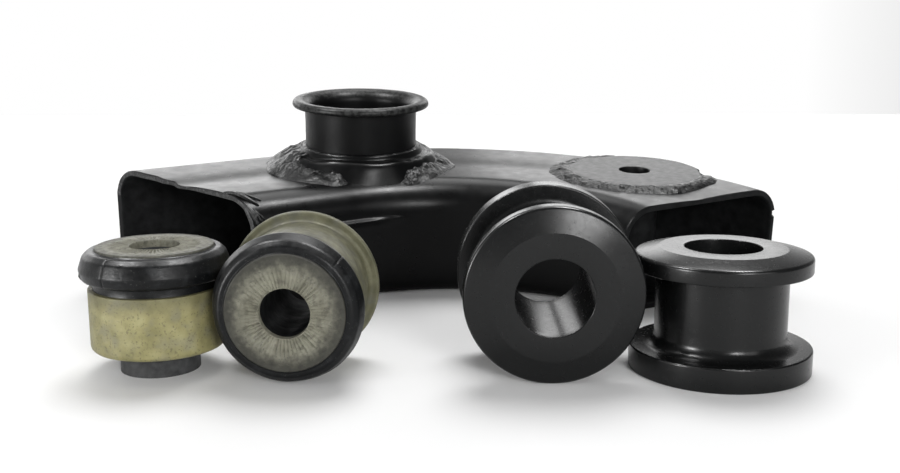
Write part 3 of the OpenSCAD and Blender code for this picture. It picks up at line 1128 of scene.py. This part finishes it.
def make_barrel(name, place):
    """The barrel with its plain flange, and a pocket in its other end for the spigot."""
    shoulder = SOLID_L - CAP_T
    pocket = shoulder - SPIGOT_L + 0.05
    outline = rounded([
        (SOLID_BORE_R, 0, 0.5), (PLAIN_FLANGE_R, 0, 0.6), (PLAIN_FLANGE_R, PLAIN_FLANGE_T, 0.6),
        (BARREL_R, PLAIN_FLANGE_T, 4.0), (BARREL_R, shoulder, 0), (SPIGOT_R + 0.05, shoulder, 0),
        (SPIGOT_R + 0.05, pocket, 0), (SOLID_BORE_R, pocket, 0),
    ], 8)
    return lathe(name, subdivided(outline, 4), place, "black_bush", turns=224)


def make_cap(name, place):
    """The chamfered flange with the spigot that sits in the barrel's pocket."""
    under = SOLID_L - CAP_T + 0.1
    outline = rounded([
        (SOLID_BORE_R, under - SPIGOT_L, 0), (SPIGOT_R, under - SPIGOT_L, 0.4), (SPIGOT_R, under, 0),
        (CAP_R, under, 0.4), (CAP_R, SOLID_L - CAP_CHAMFER, 1.3), (CAP_FACE_R, SOLID_L, 0.3),
        (SOLID_BORE_R, SOLID_L, 0.3),
    ], 6)
    return lathe(name, subdivided(outline, 4), place, "black_bush", turns=224)


# ---------------- putting it together


def place_piece(obj, body, node):
    """Makes a piece stand for a CAD node and move with that node's body."""
    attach(obj, body)
    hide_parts(node)


def build_arm():
    """Every piece of the arm that has a detailed shape."""
    for make, node, slot in (
        (make_arm_tube, "arm_tube", "arm_paint"), (make_collar, "bush_collar", "arm_paint"),
        (make_saddle, "collar_saddle", "arm_paint"), (make_collar_bead, "collar_bead", "weld_paint"),
        (make_collar_weld, "collar_weld", "weld_paint"), (make_boss, "boss_plate", "boss_paint"),
        (make_boss_weld, "boss_weld", "weld_paint"),
    ):
        place_piece(make(), "arm", node)


def build_rubber_bush(which, foot, flange_r, seed, crack_deg, nub_deg):
    """The sleeve, rubber and washer of the upright or the flanged bush."""
    place = bore_frame(which + "_bush_bore")
    shell, core = which + "_shell", which + "_core"
    sleeve = make_outer_sleeve(which + "_sleeve_pressed", place, foot, flange_r)
    place_piece(sleeve, shell, which + "_outer_sleeve")
    moulded = make_rubber(which + "_rubber_moulded", place, foot, seed, crack_deg, nub_deg)
    place_piece(moulded, shell, which + "_rubber")
    finish = "grimy_washer" if flange_r else "end_washer"
    toothed = make_washer(which + "_washer_toothed", place, finish, seed)
    place_piece(toothed, core, which + "_end_washer")


def build_solid_bush(which):
    """The barrel and the chamfered flange of the lying or the standing bush."""
    place = bore_frame(which + "_bush_bore")
    barrel = make_barrel(which + "_barrel_turned", place)
    place_piece(barrel, which + "_barrel", which + "_bush_barrel")
    cap = make_cap(which + "_cap_turned", place)
    place_piece(cap, which + "_cap", which + "_bush_cap")


def finish_cad_nodes():
    """Gives the CAD nodes that stay in view their finished materials."""
    # The flanged bush's inner sleeve takes dull black instead of bare steel: painted shade that darkens its
    # bore.
    kept = {
        "boss_sleeve": "dull_black", "sleeve_weld": "weld_paint",
        "upright_inner_sleeve": "bare_steel", "flanged_inner_sleeve": "dull_black",
    }
    for node, finish in kept.items():
        for slot in frame["nodes"][node].material_slots:
            slot.material = MATERIALS[finish]


# ---------------- the studio

# The floor reaches this far to each side, towards the viewer and away from them, in metres.
FLOOR_SIDE, FLOOR_FRONT, FLOOR_BACK = 3.0, -3.0, 0.95

# Soft panels: name, place, aim, width and height in metres, radiance, and whether they also light
# matt surfaces. The ones that don't are seen only as reflections in the paint and plastic.
PANELS = (
    ("back_left_panel", (-0.7, 1.1, 0.49), (0, 0, 0.05), (1.4, 0.42), 2.9, True),
    ("back_right_panel", (0.27, 1.15, 0.49), (0, 0, 0.05), (0.46, 0.42), 2.5, True),
    ("left_panel", (-1.15, -0.75, 0.45), (0, 0, 0.05), (0.4, 0.7), 3.6, True),
    ("right_panel", (0.9, -0.95, 0.4), (0, 0, 0.05), (0.4, 0.6), 2.8, True),
    ("key_panel", (0.40, -1.08, 0.34), (0, -0.05, 0.05), (0.32, 0.28), 27.0, True),
    ("left_overhead", (-0.57, -0.1, 1.05), (0, 0, 0.05), (0.22, 0.26), 100.0, False),
    ("right_overhead", (0.30, -0.1, 1.05), (0, 0, 0.05), (0.24, 0.24), 90.0, False),
    ("left_strip", (-1.15, -0.80, 0.17), (0, 0, 0.08), (0.32, 0.32), 50.0, False),
)


def area_light(name, at, look_at, size, radiance, on_matt):
    """A rectangular light, unseen by the camera, whose face shines with the given radiance."""
    data = bpy.data.lights.new(name, "AREA")
    data.shape = "RECTANGLE"
    data.size, data.size_y = size
    data.energy = radiance * pi * size[0] * size[1]
    obj = add_to_scene(name, data)
    obj.location = at
    obj.rotation_euler = (Vector(look_at) - Vector(at)).to_track_quat("-Z", "Y").to_euler()
    obj.visible_camera = False
    obj.visible_diffuse = on_matt


def build_floor():
    """One flat white sheet under and behind the object."""
    corners = [
        (-FLOOR_SIDE, FLOOR_FRONT, 0), (FLOOR_SIDE, FLOOR_FRONT, 0),
        (FLOOR_SIDE, FLOOR_BACK, 0), (-FLOOR_SIDE, FLOOR_BACK, 0),
    ]
    mesh = bpy.data.meshes.new("floor")
    mesh.from_pydata(corners, [], [(0, 1, 2, 3)])
    mesh.materials.append(floor_paint().material)
    floor = add_to_scene("floor", mesh)


def build_overhead():
    """A very soft light from above and a little behind."""
    sun = bpy.data.lights.new("overhead", "SUN")
    sun.energy = 1.75
    sun.angle = radians(34)
    overhead = add_to_scene("overhead", sun)
    overhead.rotation_euler = (radians(-26), radians(4), 0)


def build_studio():
    """The floor, the surround and every light."""
    scene = bpy.context.scene
    scene.view_settings.view_transform = "Standard"
    build_floor()
    build_sky(scene)
    build_overhead()
    for panel in PANELS:
        area_light(*panel)


# Along each axis of the direction looked in: where the surround's brightness starts and stops changing,
# and the brightness at each of the two. The three are multiplied.
SKY_FADES = (("Z", 0.12, 0.5, 1.0, 0.36), ("Y", -0.3, 0.25, 0.5, 1.0), ("X", 0.3, 0.7, 1.0, 0.25))


def build_sky(scene):
    """A pale surround: white behind the object, dimmer overhead, to the right and behind the viewer."""
    scene.world = bpy.data.worlds.new("studio")
    sky = Nodes(scene.world, "BACKGROUND")
    split = sky.node("SeparateXYZ")
    sky.links.new(sky.node("TexCoord").outputs["Generated"], split.inputs["Vector"])
    strength = 1.0
    for axis, *limits in SKY_FADES:
        strength = sky.times(strength, sky.carry(split.outputs[axis], *limits, "LINEAR"))
    sky.feed(sky.shader.inputs["Strength"], strength)
    sky.feed(sky.shader.inputs["Color"], (1, 1, 1))


def build_camera():
    """The photograph's view: 11 degrees down, from straight in front."""
    data = bpy.data.cameras.new("camera")
    data.lens = 44.0
    data.sensor_width = 36.0
    data.shift_x = -0.0071
    data.clip_start = 0.01
    camera = add_to_scene("camera", data)
    camera.location = (0.00635, -0.4396, 0.11465)
    camera.rotation_euler = (radians(90 - 11), radians(0.16), 0)
    bpy.context.scene.camera = camera


build_arm()
build_rubber_bush("upright", foot=8.0, flange_r=0, seed=1.5, crack_deg=242, nub_deg=206)
build_rubber_bush("flanged", foot=5.3, flange_r=25.9, seed=6.5, crack_deg=44, nub_deg=160)
build_solid_bush("lying")
build_solid_bush("standing")
finish_cad_nodes()
build_studio()
build_camera()
